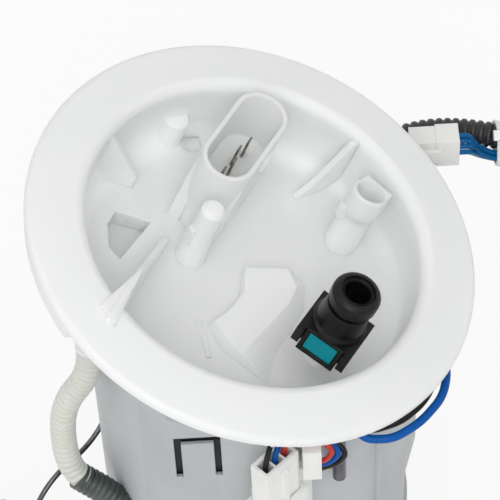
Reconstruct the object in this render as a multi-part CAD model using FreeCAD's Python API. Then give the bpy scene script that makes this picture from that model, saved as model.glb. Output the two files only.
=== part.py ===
import FreeCAD, Part
import math
import os

from FreeCAD import Placement, Rotation, Vector

# Fuel pump module. Millimetres. The reservoir pot stands on z = 0 with its axis on Z.
# +X is to the right and -Y to the front as the object is usually shown.
# The flange on top is a tilted dish. Its features are drawn in a local frame whose Z is the dish axis.

# Tilted flange
FLANGE_CENTRE = Vector(4.4, 2.5, 185.0)
FLANGE_TILT = 20.3
FLANGE_AZIMUTH = -19.1
RIM_RADIUS = 75.0
RIM_THICKNESS = 4.0
RIM_RISE = 2.5
RIM_ROUND = 1.6
LIP_RADIUS = RIM_RADIUS - 3.5
LIP_DROP = 2.5
TAB_RADIUS = RIM_RADIUS - 1.5
TAB_DROP = 5.0
BOWL_RADIUS = RIM_RADIUS - 19.0
BOWL_WALL = 3.0
BOWL_DEPTH = 24.0
BOWL_FLOOR = 2.5
BOWL_FILLET = 6.5
POCKET_DEPTH = 6.5
SEAL_WIDTH = 4.0
SEAL_HEIGHT = 4.5

# Electrical shroud and its blades
SHROUD_CENTRE = Vector(-5.1, 31.8, 0)
SHROUD_ANGLE = 60.0
SHROUD_LENGTH = 40.0
SHROUD_WIDTH = 18.0
SHROUD_WALL = 1.5
SHROUD_TOP = 8.0
SHROUD_SEAT = -14.0
BLADE_COUNT = 5
BLADE_PITCH = 5.4
BLADE_WIDTH = 2.8
BLADE_THICKNESS = 0.6
BLADE_LENGTH = 17.0

# Small sensor port, plain post and fuel spigot
PORT_FOOT = Vector(37.4, 18.8, -24.0)
PORT_HEAD = Vector(40.3, 23.8, -0.5)
PORT_RADIUS = 6.2
PORT_BORE = 4.9
PORT_DEPTH = 11.0
POST_CENTRE = Vector(-14.8, 4.6, 0)
POST_RADIUS = 4.1
POST_TOP = 4.0
SPIGOT_CENTRE = Vector(27.5, -27.0, 0)
SPIGOT_RADIUS = 4.0
SPIGOT_BORE = 2.6
SPIGOT_TOP = 2.0
SPIGOT_BEAD = 4.8

# Quick connector on the spigot
COUPLER_FRONT = 237.2
COUPLER_FOOT = -16.0
COUPLER_BLOCK_LOW = -9.8
COUPLER_BLOCK_TOP = -3.0
COUPLER_TOP = 16.0
COUPLER_RADIUS = 8.0
COUPLER_BORE = 5.6
COUPLER_MOUTH = 4.1
COUPLER_BLOCK_WIDTH = 19.6
COUPLER_BLOCK_BACK = 7.2
COUPLER_BLOCK_FRONT = 10.8
COUPLER_NOSE_WIDTH = 13.6
COUPLER_NOSE_TOP = 8.7
COUPLER_NOSE_FRONT = 12.7
LATCH_WIDTH = 10.2
LATCH_LOW = -8.6
LATCH_TOP = -4.0
LATCH_TRAVEL = 1.2
LATCH_CLEARANCE = 0.2
YOKE_WIDTH = 13.2
ORING_THICKNESS = 1.6

# White outer sleeve
SLEEVE_RADIUS = 52.8
SLEEVE_WALL = 2.2
SLEEVE_BOTTOM = 42.0
PANEL_TURNS = (-90.0, 35.0)
PANEL_TOPS = (151.0, 129.0)
PANEL_FACE = SLEEVE_RADIUS - 1.4
PANEL_OFFSET = -17.9
PANEL_HEIGHT = 67.0
PANEL_WALL = 1.3
TONGUE_WIDTH = 10.4
TONGUE_LENGTH = 21.0
TONGUE_SLOT = 2.2
TONGUE_HEAD_SLOT = 3.4
CATCH_BELOW = 10.0
CATCH_HEIGHT = 3.0
CATCH_WIDTH = 5.0
CATCH_REACH = 1.9
COLLAR_HEIGHT = 8.0
COLLAR_WALL = 2.0

# Black reservoir pot
POT_RADIUS = 50.0
POT_WALL = 2.4
POT_HEIGHT = 112.0
POT_FLOOR_LOW = 5.0
POT_FLOOR = 3.0
FOOT_RADIUS = 45.0
RAIL_WIDTH = 15.4
RAIL_FOOT = 20.0
RAIL_GAP = 0.3
VALVE_CENTRE = Vector(0, 25, 0)
STROKE = 8.0
STROKE_CLEARANCE = 0.4

# Guide rods and springs
ROD_AZIMUTHS = (65.0, 235.0)
ROD_ORBIT = 41.8
ROD_RADIUS = 2.5
ROD_RUNNING_GAP = 0.05
ROD_LOW = 70.0
BOSS_BOTTOM = 140.0
BOSS_RADIUS = 5.0
ROD_SEAT = 12.0
TOWER_LOW = 58.0
TOWER_TOP = 105.0
TOWER_RADIUS = 4.5
SPRING_RADIUS = 3.9
SPRING_WIRE = 0.55
SPRING_TURNS = 7.5

# Pump, filter and what lies beside them in the pot
PUMP_RADIUS = 19.0
PUMP_SHELL = 1.0
PUMP_LOW = 20.0
PUMP_TOP = 88.0
SHAFT_RADIUS = 2.0
SHAFT_GAP = 0.03
ARMATURE_RADIUS = 13.8
MAGNET_THICKNESS = 2.6
IMPELLER_RADIUS = 15.0
IMPELLER_BLADES = 24
FILTER_INNER = 20.0
FILTER_OUTER = 36.6
FILTER_WALL = 1.4
FILTER_LOW = 22.0
FILTER_TOP = 84.0
STRAINER_RADIUS = 30.0
REGULATOR_CENTRE = Vector(-25, 14.5, 0)
REGULATOR_RADIUS = 7.0
OUTLET_X = 22.0
OUTLET_Y = -24.0
HOSE_NIPPLE = 2.8

# Level sensor on the pot and its float
SENSOR_AZIMUTH = 135.0
SENSOR_GAP = 0.7
SENSOR_WIDTH = 24.0
SENSOR_THICKNESS = 6.0
PIVOT_HEIGHT = 75.0
SENSOR_LOW = PIVOT_HEIGHT - 27.0
SENSOR_TOP = PIVOT_HEIGHT + 15.0
BRACKET_WIDTH = 16.0
BRACKET_LOW = PIVOT_HEIGHT - 17.0
BRACKET_TOP = PIVOT_HEIGHT + 9.0
SLOT_SIDE_GAP = 4.0
PIVOT_RADIUS = 2.0
PIVOT_GAP = 0.05
HUB_RADIUS = 6.5
HUB_THICKNESS = 4.0
WIPER_LEAD = -28.0
ARM_WIRE = 1.0
ARM_POINTS = ((-3.0, -3.5), (-16.0, -35.0), (-47.0, -36.0), (-60.0, -58.0))
FLOAT_RADIUS = 8.0
FLOAT_LENGTH = 34.0

# Hoses, wires and the loom
HOSE_RADIUS = 4.2
HOSE_BORE = 3.2
RETURN_X = -50.2
RETURN_Y = -28.6
RETURN_LOW = 163.5
RETURN_ROUTE = ((RETURN_X, RETURN_Y, 170.3), (RETURN_X, RETURN_Y, 158.5), (-61.2, -26, 139), (-63.4, -25.5, 116),
                (-61.4, -27, 101), (-56.2, -28, 96.5))
FITTING_ROUTE = ((-51.2, -29, 91.2), (-45, -30.5, 84.6), (-40.5, -31.5, 80))
FITTING_RADIUS = 4.4
OUTLET_AZIMUTH = -68.0
WIRE_RADIUS = 0.9
LOOP_WIRE_RADIUS = 1.4
LOOP_BELOW = 34.0
LOOP_HEIGHT = FLANGE_CENTRE.z - LOOP_BELOW
BLUE_LOOP = ((35.8, -55.6), (43.5, -56), (52.5, -50.5), (60.5, -41), (63, -31.5), (62, -19), (61.5, -3), (62.5, 13),
             (64.5, 29), (60, 43), (52, 55))
BLACK_LOOP = ((38.4, -51.7), (46.5, -49.3), (54.7, -42), (59, -32.5), (58.6, -19), (58.2, -3), (59.2, 13), (61, 28),
              (56, 41), (48, 52))
LOOM_RADIUS = 4.5
LOOM_ROUTE = ((28, 48.5, 146), (42, 65.5, 149), (65, 76.5, 149.5), (93, 74.5, 145.5), (121, 68, 136), (146, 58, 114),
              (165, 47, 84), (180, 33, 52), (192, 16, 24), (198, -7, 7.5), (194, -33, 4.6), (173, -52, 4.6),
              (145, -50, 4.6), (127, -29, 4.6), (128, -2, 4.6), (148, 17, 4.6))
PLUG_CENTRE = Vector(6.2, -60.2, 0)
PLUG_ANGLE = 44.0
PLUG_LENGTH = 14.0
PLUG_DEPTH = 7.4
PLUG_LOW = 112.0
PLUG_TOP = 150.0
SOCKET_LOW = 104.0
SOCKET_TOP = 130.0
SOCKET_WALL = 1.8
CELL_PITCH = 4.2
CLIP_FACE = 21.0
CLIP_WIDTH = 6.0
CLIP_LOW = 134.5
CLIP_TOP = 149.0
PIN_CENTRE = Vector(27.0, -49.3, 0)
PIN_RADIUS = 2.2
PIN_LOW = 122.8
CONNECTOR_CENTRE = Vector(67, 64, 154.0)

UP = Vector(0, 0, 1)
ORIGIN = Vector(0, 0, 0)
LOOM_DOWN = Vector(0, -0.767, -0.641)
LOOM_IN = Vector(0, 0.641, -0.767)
LOOM_RUN = Vector(27.0, -3.2, -6.5).normalize()
LOOM_AT_TIE = Vector(90.5, 74.3, 145.4)
WIRE_BUNDLE = LOOM_AT_TIE + LOOM_DOWN * (LOOM_RADIUS + 2.6)


def polar(radius, azimuth, z=0.0):
    angle = math.radians(azimuth)
    return Vector(radius * math.cos(angle), radius * math.sin(angle), z)


def flange_normal():
    tilt = math.radians(FLANGE_TILT)
    flat = polar(math.sin(tilt), FLANGE_AZIMUTH)
    return Vector(flat.x, flat.y, math.cos(tilt))


FLANGE_FRAME = Placement(FLANGE_CENTRE, Rotation(UP, flange_normal()))
BOWL_OUTER = BOWL_RADIUS + BOWL_WALL
UNDERSIDE = -BOWL_DEPTH - BOWL_FLOOR
SLEEVE_BORE = SLEEVE_RADIUS - SLEEVE_WALL
BIG = 400.0
TALL = FLANGE_CENTRE.z + RIM_RADIUS


def tilted(shape):
    copy = shape.copy()
    copy.Placement = FLANGE_FRAME.multiply(copy.Placement)
    return copy


def cylinder(radius, low, top, at=ORIGIN):
    return Part.makeCylinder(radius, top - low, Vector(at.x, at.y, low))


def tube(outer, inner, low, top, at=ORIGIN):
    return cylinder(outer, low, top, at).cut(cylinder(inner, low, top, at))


def block(length, depth, low, top, at=ORIGIN, angle=0.0):
    shape = Part.makeBox(length, depth, top - low, Vector(-length / 2, -depth / 2, low))
    shape.rotate(ORIGIN, UP, angle)
    shape.translate(Vector(at.x, at.y, 0))
    return shape


def obround(length, width, low, top, at, angle):
    half = (length - width) / 2
    body = block(length - width, width, low, top)
    body = body.fuse(cylinder(width / 2, low, top, Vector(-half, 0, 0)))
    body = body.fuse(cylinder(width / 2, low, top, Vector(half, 0, 0))).removeSplitter()
    body.rotate(ORIGIN, UP, angle)
    body.translate(Vector(at.x, at.y, 0))
    return body


def prism(points, z, height):
    outline = [Vector(x, y, z) for x, y in points]
    return Part.Face(Part.makePolygon(outline + outline[:1])).extrude(Vector(0, 0, height))


def revolved(profile, at=ORIGIN):
    # Pairs are corners. Four numbers are an arc: a point on the way and its end.
    edges = []
    first = Vector(profile[0][0], 0, profile[0][1])
    last = first
    for step in profile[1:]:
        end = Vector(step[-2], 0, step[-1])
        if len(step) == 4:
            edges.append(Part.Arc(last, Vector(step[0], 0, step[1]), end).toShape())
        else:
            edges.append(Part.LineSegment(last, end).toShape())
        last = end
    edges.append(Part.LineSegment(last, first).toShape())
    shape = Part.Face(Part.Wire(edges)).revolve(ORIGIN, UP, 360)
    shape.translate(Vector(at.x, at.y, 0))
    return shape


def plate(points, thickness, start, direction):
    # An upright plate: points are (distance along direction, height), thickness is centred on the line.
    outline = [Vector(s, -thickness / 2, z) for s, z in points]
    shape = Part.Face(Part.makePolygon(outline + outline[:1])).extrude(Vector(0, thickness, 0))
    shape.rotate(ORIGIN, UP, direction)
    shape.translate(Vector(start.x, start.y, 0))
    return shape


def radial(shape, azimuth):
    # A piece drawn along +X, turned about the Z axis.
    copy = shape.copy()
    copy.rotate(ORIGIN, UP, azimuth)
    return copy


def below_flange(depth):
    slab = Part.makeBox(BIG, BIG, BIG, Vector(-BIG / 2, -BIG / 2, depth - BIG))
    return tilted(slab)


def underside_height(x, y, depth=UNDERSIDE):
    normal = flange_normal()
    base = FLANGE_FRAME.multVec(Vector(0, 0, depth))
    return base.z - ((x - base.x) * normal.x + (y - base.y) * normal.y) / normal.z


def fuse_all(shapes):
    body = shapes[0].multiFuse(shapes[1:])
    return body.removeSplitter()


def route_wire(points, share=0.45):
    # Straight runs joined by tangent arcs. Each arc takes the same share of the shorter run beside it.
    corners = [Vector(*point) for point in points]
    edges = []
    radii = []
    last = corners[0]
    for before, corner, after in zip(corners, corners[1:], corners[2:]):
        back = (before - corner).normalize()
        ahead = (after - corner).normalize()
        reach = share * min((before - corner).Length, (after - corner).Length)
        start = corner + back * reach
        end = corner + ahead * reach
        half_turn = (math.pi - back.getAngle(ahead)) / 2
        radius = reach / math.tan(half_turn)
        middle = corner + (back + ahead).normalize() * radius * (1 / math.cos(half_turn) - 1)
        edges.append(Part.LineSegment(last, start).toShape())
        edges.append(Part.Arc(start, middle, end).toShape())
        radii.append(radius)
        last = end
    edges.append(Part.LineSegment(last, corners[-1]).toShape())
    return Part.Wire(edges), radii


def along(points, radius):
    path, _ = route_wire(points)
    first = Vector(*points[0])
    direction = Vector(*points[1]) - first
    ring = Part.Wire(Part.makeCircle(radius, first, direction))
    return path.makePipeShell([ring], True, False)


def hollow_along(points, radius, bore):
    return along(points, radius).cut(along(points, bore))


def coil(radius, wire, low, top, turns, at):
    # A compression spring of flat facets, whose ends lie inside its length.
    steps = round(turns * 14)
    sides = 6
    rings = []
    for step in range(steps + 1):
        share = step / steps
        middle = low + wire + share * (top - low - 2 * wire)
        angle = 2 * math.pi * turns * share
        ring = []
        for side in range(sides):
            around = 2 * math.pi * side / sides
            reach = radius + wire * math.cos(around)
            ring.append(Vector(at.x + reach * math.cos(angle), at.y + reach * math.sin(angle),
                               middle + wire * math.sin(around)))
        rings.append(ring)
    faces = []
    for before, after in zip(rings, rings[1:]):
        for side in range(sides):
            beside = (side + 1) % sides
            for corners in ((before[side], before[beside], after[beside]), (before[side], after[beside], after[side])):
                faces.append(Part.Face(Part.makePolygon(list(corners) + [corners[0]])))
    for ring in (rings[0], rings[-1]):
        faces.append(Part.Face(Part.makePolygon(ring + ring[:1])))
    spring = Part.makeSolid(Part.makeShell(faces))
    if spring.Volume < 0:
        spring.reverse()
    return spring


def export(name, *shapes):
    shape = shapes[0] if len(shapes) == 1 else Part.makeCompound(list(shapes))
    shape.exportStep("parts/" + name + ".step")


# Flange
def dish():
    half = BOWL_RADIUS - BOWL_FILLET
    turn = BOWL_FILLET * (1 - math.sqrt(0.5))
    lip_base = -RIM_THICKNESS - LIP_DROP
    profile = [(0, -BOWL_DEPTH), (half, -BOWL_DEPTH),
               (BOWL_RADIUS - turn, -BOWL_DEPTH + turn, BOWL_RADIUS, -BOWL_DEPTH + BOWL_FILLET),
               (BOWL_RADIUS, -RIM_ROUND), (BOWL_RADIUS + 0.9, RIM_RISE - 1.2, BOWL_RADIUS + 3.4, RIM_RISE),
               (RIM_RADIUS - 2, 0.2), (RIM_RADIUS - 0.5, -0.5, RIM_RADIUS, -2), (RIM_RADIUS, -3),
               (RIM_RADIUS - 0.3, -3.7, RIM_RADIUS - 1, -RIM_THICKNESS), (LIP_RADIUS, -RIM_THICKNESS),
               (LIP_RADIUS, lip_base), (LIP_RADIUS - 2.5, lip_base), (LIP_RADIUS - 2.5, -RIM_THICKNESS),
               (BOWL_OUTER, -RIM_THICKNESS), (BOWL_OUTER, UNDERSIDE), (0, UNDERSIDE)]
    return revolved(profile)


def lip_tab():
    # The lip stands further out and lower along the front left.
    ring = tube(TAB_RADIUS, TAB_RADIUS - 3.5, -RIM_THICKNESS - TAB_DROP, -RIM_THICKNESS)
    return ring.common(radial(block(RIM_RADIUS, 68, -BOWL_DEPTH, 0, Vector(RIM_RADIUS / 2 + 12, 0, 0)), -172))


def webs():
    # Upright webs between the floor and the bowl wall.
    floor = -BOWL_DEPTH - 1
    left = plate(((0, floor), (0, -18), (13.8, 0), (15, 0), (15, floor)), 2.2, Vector(-34.3, 28.4, 0), 168.7)
    back = plate(((0, floor), (0, -23), (5, -18.5), (10, -10), (14.7, 0.5), (17.5, 0.5), (17.5, floor)), 2.2,
                 Vector(21.5, 33.6, 0), 31.6)
    return [left, back]


def ridge():
    # The long fin that climbs out of the bowl at the front left and ends on the rim.
    start = Vector(-23.5, 8, 0)
    floor = -BOWL_DEPTH - 1
    points = ((0, floor), (0, -21), (5, -16), (18, -9), (28, -3.5), (31, -1.5), (41, 3.4), (54, 3.4), (57, 1.0),
              (57, 0), (49.5, -3.5), (46, floor))
    fin = plate(points, 2.2, start, -117.0)
    gusset = prism(((-37, -19.5), (-51.5, -36.5), (-47, -43.5)), -3, 6.2)
    return [fin, gusset]


def ramp():
    # The raised volute on the floor. Its left side is steep and its right side slopes down.
    top = ((2.6, 0), (17.1, 2), (19.9, -4.8), (17.3, -11), (12.6, -17.5), (3.2, -29.5), (0.4, -33.6), (-3.5, -29.4),
           (-8.3, -22), (-3.2, -17), (1.7, -9.8))
    foot = ((2.6, 0.8), (19, 5), (24.8, -0.2), (24.1, -10), (20.3, -18.2), (14.9, -27), (11, -41), (-4.3, -30.4),
            (-9.1, -22.2), (-3.5, -16.5), (1.4, -9.5))
    wires = []
    for outline, height in ((top, -BOWL_DEPTH + 4.5), (foot, -BOWL_DEPTH - 0.5)):
        corners = [Vector(x, y, height) for x, y in outline]
        wires.append(Part.makePolygon(corners + corners[:1]))
    return Part.makeLoft(wires, True, True)


POCKET = ((-28, 15), (-38.4, -1), (-42, 3), (-42.5, 12), (-40, 17), (-35, 16.5))


def pocket(grow, low, top):
    middle_x = sum(x for x, _ in POCKET) / len(POCKET)
    middle_y = sum(y for _, y in POCKET) / len(POCKET)
    outline = [(middle_x + (x - middle_x) * grow, middle_y + (y - middle_y) * grow) for x, y in POCKET]
    return prism(outline, low, top - low)


def shroud():
    outer = obround(SHROUD_LENGTH, SHROUD_WIDTH, -BOWL_DEPTH - 1, SHROUD_TOP, SHROUD_CENTRE, SHROUD_ANGLE)
    bars = []
    side = Vector(-math.sin(math.radians(SHROUD_ANGLE)), math.cos(math.radians(SHROUD_ANGLE)), 0)
    floor = -BOWL_DEPTH - 1
    for sign in (-1, 1):
        at = SHROUD_CENTRE + side * sign * (SHROUD_WIDTH / 2 - 2.2)
        bars.append(plate(((-19.5, floor), (-19, -15), (-12, SHROUD_TOP - 2), (0, SHROUD_TOP - 2), (0, floor)), 4.4, at,
                          SHROUD_ANGLE))
    catch_at = SHROUD_CENTRE - side * (SHROUD_WIDTH / 2 + 0.4)
    catch = block(5, 2.4, SHROUD_TOP - 9, SHROUD_TOP - 4, catch_at, SHROUD_ANGLE)
    return [outer, catch] + bars


def shroud_cavity():
    length = SHROUD_LENGTH - 2 * SHROUD_WALL
    width = SHROUD_WIDTH - 2 * SHROUD_WALL
    return obround(length, width, SHROUD_SEAT, SHROUD_TOP + 1, SHROUD_CENTRE, SHROUD_ANGLE)


def blade(index):
    offset = (index - (BLADE_COUNT - 1) / 2) * BLADE_PITCH
    stagger = 0.6 if index % 2 else -0.6
    along_axis = polar(offset, SHROUD_ANGLE)
    across = polar(stagger, SHROUD_ANGLE + 90)
    low = UNDERSIDE - 4
    return block(BLADE_WIDTH, BLADE_THICKNESS, low, low + BLADE_LENGTH + 8, SHROUD_CENTRE + along_axis + across,
                 SHROUD_ANGLE)


def spigot():
    floor = -BOWL_DEPTH - 1
    profile = ((0, floor), (SPIGOT_RADIUS + 0.9, floor), (SPIGOT_RADIUS + 0.9, -BOWL_DEPTH + 2),
               (SPIGOT_RADIUS, -BOWL_DEPTH + 4), (SPIGOT_RADIUS, -9.5), (SPIGOT_BEAD, -8.5), (SPIGOT_BEAD, -7.5),
               (SPIGOT_RADIUS, -6.5), (SPIGOT_RADIUS, SPIGOT_TOP - 0.8), (SPIGOT_RADIUS - 0.8, SPIGOT_TOP),
               (0, SPIGOT_TOP))
    return revolved(profile, SPIGOT_CENTRE)


def post():
    floor = -BOWL_DEPTH - 1
    profile = ((0, floor), (POST_RADIUS + 1.2, floor), (POST_RADIUS + 0.6, -BOWL_DEPTH + 5), (POST_RADIUS, -10),
               (POST_RADIUS, POST_TOP - 1.5), (POST_RADIUS - 1.3, POST_TOP), (0, POST_TOP))
    body = revolved(profile, POST_CENTRE)
    lug = block(2.6 * POST_RADIUS, 3.0, -14.0, -7.0, POST_CENTRE, 20)
    return [body, lug]


def port_place(shape):
    copy = shape.copy()
    copy.Placement = Placement(PORT_FOOT, Rotation(UP, PORT_HEAD - PORT_FOOT)).multiply(copy.Placement)
    return copy


def port():
    # A small cup that leans towards the bowl wall, with a flat ear on its far side.
    length = (PORT_HEAD - PORT_FOOT).Length
    body = revolved(((0, -1.5), (PORT_RADIUS - 0.6, -1.5), (PORT_RADIUS - 0.6, 3), (PORT_RADIUS - 0.8, length - 10),
                     (PORT_RADIUS, length - 8), (PORT_RADIUS, length - 0.6), (PORT_RADIUS - 0.6, length), (0, length)))
    ear = block(4.2, 2 * PORT_RADIUS - 1.5, length - 8, length, Vector(PORT_RADIUS - 2.1, 0, 0))
    ear = radial(ear, 48)
    nub = block(2.6, 3.0, length - 12, length - 7, Vector(-PORT_RADIUS - 0.2, 0, 0))
    return [port_place(body), port_place(ear), port_place(radial(nub, 12))]


def port_cavity():
    length = (PORT_HEAD - PORT_FOOT).Length
    return port_place(cylinder(PORT_BORE, length - PORT_DEPTH, length + 2))


def wire_outlet():
    # The moulded box under the rim where the wires leave the bowl.
    return radial(block(7, 34, -18, -RIM_THICKNESS, Vector(BOWL_OUTER + 2.5, 0, 0)), OUTLET_AZIMUTH)


def collar():
    ring = tube(SLEEVE_BORE - 0.15, SLEEVE_BORE - 0.15 - COLLAR_WALL, POT_HEIGHT, TALL)
    band = ring.common(below_flange(UNDERSIDE + 0.5)).cut(below_flange(UNDERSIDE - COLLAR_HEIGHT))
    notch = block(2 * (SLEEVE_RADIUS - POT_RADIUS + 6), RAIL_WIDTH + 7, 0, TALL, Vector(POT_RADIUS, PANEL_OFFSET, 0))
    for turn in PANEL_TURNS:
        band = band.cut(radial(notch, turn))
    return band


def rod_boss(azimuth):
    at = polar(ROD_ORBIT, azimuth)
    top = underside_height(at.x, at.y) + 3
    boss = cylinder(BOSS_RADIUS, BOSS_BOTTOM, top, at).common(below_flange(UNDERSIDE + 0.5))
    return boss.cut(cylinder(ROD_RADIUS, BOSS_BOTTOM, BOSS_BOTTOM + ROD_SEAT, at))


def inner_nipple(x, y, radius, bottom):
    top = underside_height(x, y) + 5
    return cylinder(radius, bottom, top, Vector(x, y, 0)).common(below_flange(UNDERSIDE + 0.5))


def return_nipple():
    at = Vector(RETURN_X, RETURN_Y, 0)
    stem = cylinder(HOSE_BORE - 0.1, RETURN_LOW, TALL, at)
    root = cylinder(HOSE_RADIUS, RETURN_ROUTE[0][2] + 0.1, TALL, at)
    return [shape.common(below_flange(UNDERSIDE + 0.5)).cut(cylinder(SLEEVE_RADIUS, 0, TALL)) for shape in (stem, root)]


def make_return_fitting():
    # The black elbow that carries the hose into the sleeve. Its stem fills the hose's end.
    end = Vector(*RETURN_ROUTE[-1])
    direction = (end - Vector(*RETURN_ROUTE[-2])).normalize()
    stem = Part.makeCylinder(HOSE_BORE - 0.05, 5, end - direction * 3, direction)
    start = end + direction * 0.1
    body = along([tuple(start), tuple(start + direction * 7), *FITTING_ROUTE[1:]], FITTING_RADIUS)
    rings = [Part.makeCylinder(FITTING_RADIUS + 0.7, 1.8, start + direction * step, direction) for step in (0, 3.2)]
    elbow = fuse_all([body] + rings).cut(cylinder(SLEEVE_RADIUS, 0, TALL))
    return stem.fuse(elbow).removeSplitter()


def make_flange():
    solids = [dish(), lip_tab(), ramp(), spigot()] + shroud() + post() + port() + ridge() + webs()
    floor = -BOWL_DEPTH - 1
    solids.append(cylinder(4.4, floor, -13, Vector(-22, 50.5, 0)))
    solids.append(cylinder(1.2, floor, -BOWL_DEPTH + 0.6, Vector(-12.3, -21.2, 0)))
    solids.append(plate(((0, floor), (0, -BOWL_DEPTH + 0.7), (8.5, -BOWL_DEPTH + 0.7), (8.5, floor)), 1.6,
                        Vector(-11, -25.3, 0), -78))
    solids.append(wire_outlet())
    solids.append(pocket(1.25, UNDERSIDE - POCKET_DEPTH + 1.5, -BOWL_DEPTH - 1))
    moulding = fuse_all(solids)
    moulding = moulding.cut(shroud_cavity()).cut(port_cavity())
    moulding = moulding.cut(cylinder(SPIGOT_BORE, UNDERSIDE - 1, SPIGOT_TOP + 1, SPIGOT_CENTRE))
    moulding = moulding.cut(pocket(1.0, -BOWL_DEPTH - POCKET_DEPTH, -BOWL_DEPTH + 6))
    moulding = moulding.cut(cylinder(3.6, -BOWL_DEPTH - 1.7, -BOWL_DEPTH + 1, Vector(-14, 49.5, 0)))
    for index in range(BLADE_COUNT):
        moulding = moulding.cut(blade(index))
    world = [tilted(moulding), collar()] + return_nipple()
    world += [rod_boss(azimuth) for azimuth in ROD_AZIMUTHS]
    world.append(inner_nipple(OUTLET_X, OUTLET_Y, HOSE_NIPPLE, 136))
    return fuse_all(world)


# Quick connector
def coupler_block(width, back, front, low, top):
    centre = SPIGOT_CENTRE + polar((front - back) / 2, COUPLER_FRONT)
    return block(front + back, width, low, top, centre, COUPLER_FRONT)


def coupler_slope(height, behind=0.0):
    # How far the nose's sloping face stands from the axis at a height.
    share = (COUPLER_BLOCK_TOP - height) / (COUPLER_BLOCK_TOP - COUPLER_BLOCK_LOW)
    return COUPLER_NOSE_TOP + share * (COUPLER_NOSE_FRONT - COUPLER_NOSE_TOP) - behind


def coupler_wedge(width, back, low, top, behind=0.0):
    points = ((back, low), (coupler_slope(low, behind), low), (coupler_slope(top, behind), top), (back, top))
    return plate(points, width, SPIGOT_CENTRE, COUPLER_FRONT)


def make_coupler():
    base = COUPLER_BLOCK_TOP
    profile = ((0, COUPLER_FOOT), (COUPLER_RADIUS - 0.6, COUPLER_FOOT), (COUPLER_RADIUS - 0.6, base),
               (COUPLER_RADIUS + 1.1, base), (COUPLER_RADIUS + 1.1, base + 1.2), (COUPLER_RADIUS + 0.2, base + 2.6),
               (COUPLER_RADIUS - 0.6, 7.6), (COUPLER_RADIUS - 2.0, 8.0), (COUPLER_RADIUS - 2.0, 9.6),
               (COUPLER_RADIUS - 0.4, 10.0), (COUPLER_RADIUS, 10.6), (COUPLER_RADIUS, 13.0),
               (COUPLER_RADIUS - 0.6, 15.2, COUPLER_RADIUS - 2.0, COUPLER_TOP),
               (COUPLER_MOUTH + 1.6, COUPLER_TOP), (COUPLER_MOUTH + 1.3, COUPLER_TOP - 1.0),
               (COUPLER_MOUTH + 0.8, COUPLER_TOP - 1.0), (COUPLER_MOUTH + 0.5, COUPLER_TOP - 0.4),
               (COUPLER_MOUTH, COUPLER_TOP - 1.4), (0, COUPLER_TOP - 1.4))
    barrel = revolved(profile, SPIGOT_CENTRE)
    cheeks = coupler_block(COUPLER_BLOCK_WIDTH, COUPLER_BLOCK_BACK, COUPLER_BLOCK_FRONT, COUPLER_BLOCK_LOW, base)
    recess = coupler_block(COUPLER_NOSE_WIDTH + 0.8, -COUPLER_NOSE_TOP, COUPLER_BLOCK_FRONT + 1,
                           COUPLER_BLOCK_LOW - 1, base + 1)
    nose = coupler_wedge(COUPLER_NOSE_WIDTH, 0, COUPLER_BLOCK_LOW, base)
    body = fuse_all([barrel, cheeks.cut(recess), nose])
    gap = LATCH_CLEARANCE
    body = body.cut(coupler_block(LATCH_WIDTH + 2 * gap, 0, COUPLER_NOSE_FRONT + 1, LATCH_LOW - gap, LATCH_TOP + gap))
    yoke_low, yoke_top = yoke_span()
    body = body.cut(coupler_block(YOKE_WIDTH + 2 * gap, COUPLER_BLOCK_BACK - 1.2, COUPLER_NOSE_TOP + gap,
                                  yoke_low - gap, yoke_top + gap))
    body = body.cut(cylinder(COUPLER_BORE, COUPLER_FOOT - 1, 4.0, SPIGOT_CENTRE))
    return body.cut(cylinder(COUPLER_MOUTH, 3.0, COUPLER_TOP + 1, SPIGOT_CENTRE))


def yoke_span():
    middle = (LATCH_LOW + LATCH_TOP) / 2
    return middle - 1.0, middle + 1.0


def make_latch():
    # A button in the nose with a fork that runs either side of the spigot.
    low, top = yoke_span()
    button = coupler_wedge(LATCH_WIDTH, COUPLER_BORE + LATCH_TRAVEL + 0.9, LATCH_LOW, LATCH_TOP, 0.25)
    front = COUPLER_NOSE_TOP
    inner = COUPLER_BORE + LATCH_TRAVEL + 0.3
    yoke = coupler_block(YOKE_WIDTH, COUPLER_BLOCK_BACK - 1.4 - LATCH_TRAVEL - LATCH_CLEARANCE, front, low, top)
    yoke = yoke.cut(coupler_block(2 * (COUPLER_BORE + 0.1), COUPLER_BLOCK_BACK, inner, low - 1, top + 1))
    return button.fuse(yoke).removeSplitter()


def coupler_ring(low):
    section = ORING_THICKNESS / 2
    centre = (COUPLER_BORE + SPIGOT_RADIUS) / 2
    ring = Part.makeTorus(centre, section - 0.02, Vector(SPIGOT_CENTRE.x, SPIGOT_CENTRE.y, low + section), UP)
    return ring


# Sleeve and pot
def panel_wall(turn, top):
    # A flat face on the round sleeve, with a channel behind it for the pot's rail.
    face = PANEL_FACE
    outline = ((face, -12), (face, -26.5), (face - 13.2, -36.5), (30, -30), (40, -12))
    wall = prism(outline, top - PANEL_HEIGHT, PANEL_HEIGHT + BIG / 4)
    return radial(wall, turn).common(below_flange(UNDERSIDE))


def panel_channel(turn, top):
    depth = 12.0
    at = Vector(PANEL_FACE - PANEL_WALL - depth / 2, PANEL_OFFSET, 0)
    return radial(block(depth, RAIL_WIDTH + 0.9, top - PANEL_HEIGHT + 4, TALL, at), turn)


def window(turn, top):
    # An upside-down U cut through the wall. It leaves a tongue that bends at its foot.
    at = Vector(PANEL_FACE, PANEL_OFFSET, 0)
    outer = block(12, TONGUE_WIDTH + 2 * TONGUE_SLOT, top - TONGUE_LENGTH, top, at)
    inner = block(14, TONGUE_WIDTH, top - TONGUE_LENGTH - 1, top - TONGUE_HEAD_SLOT, at)
    return radial(outer.cut(inner), turn)


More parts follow.
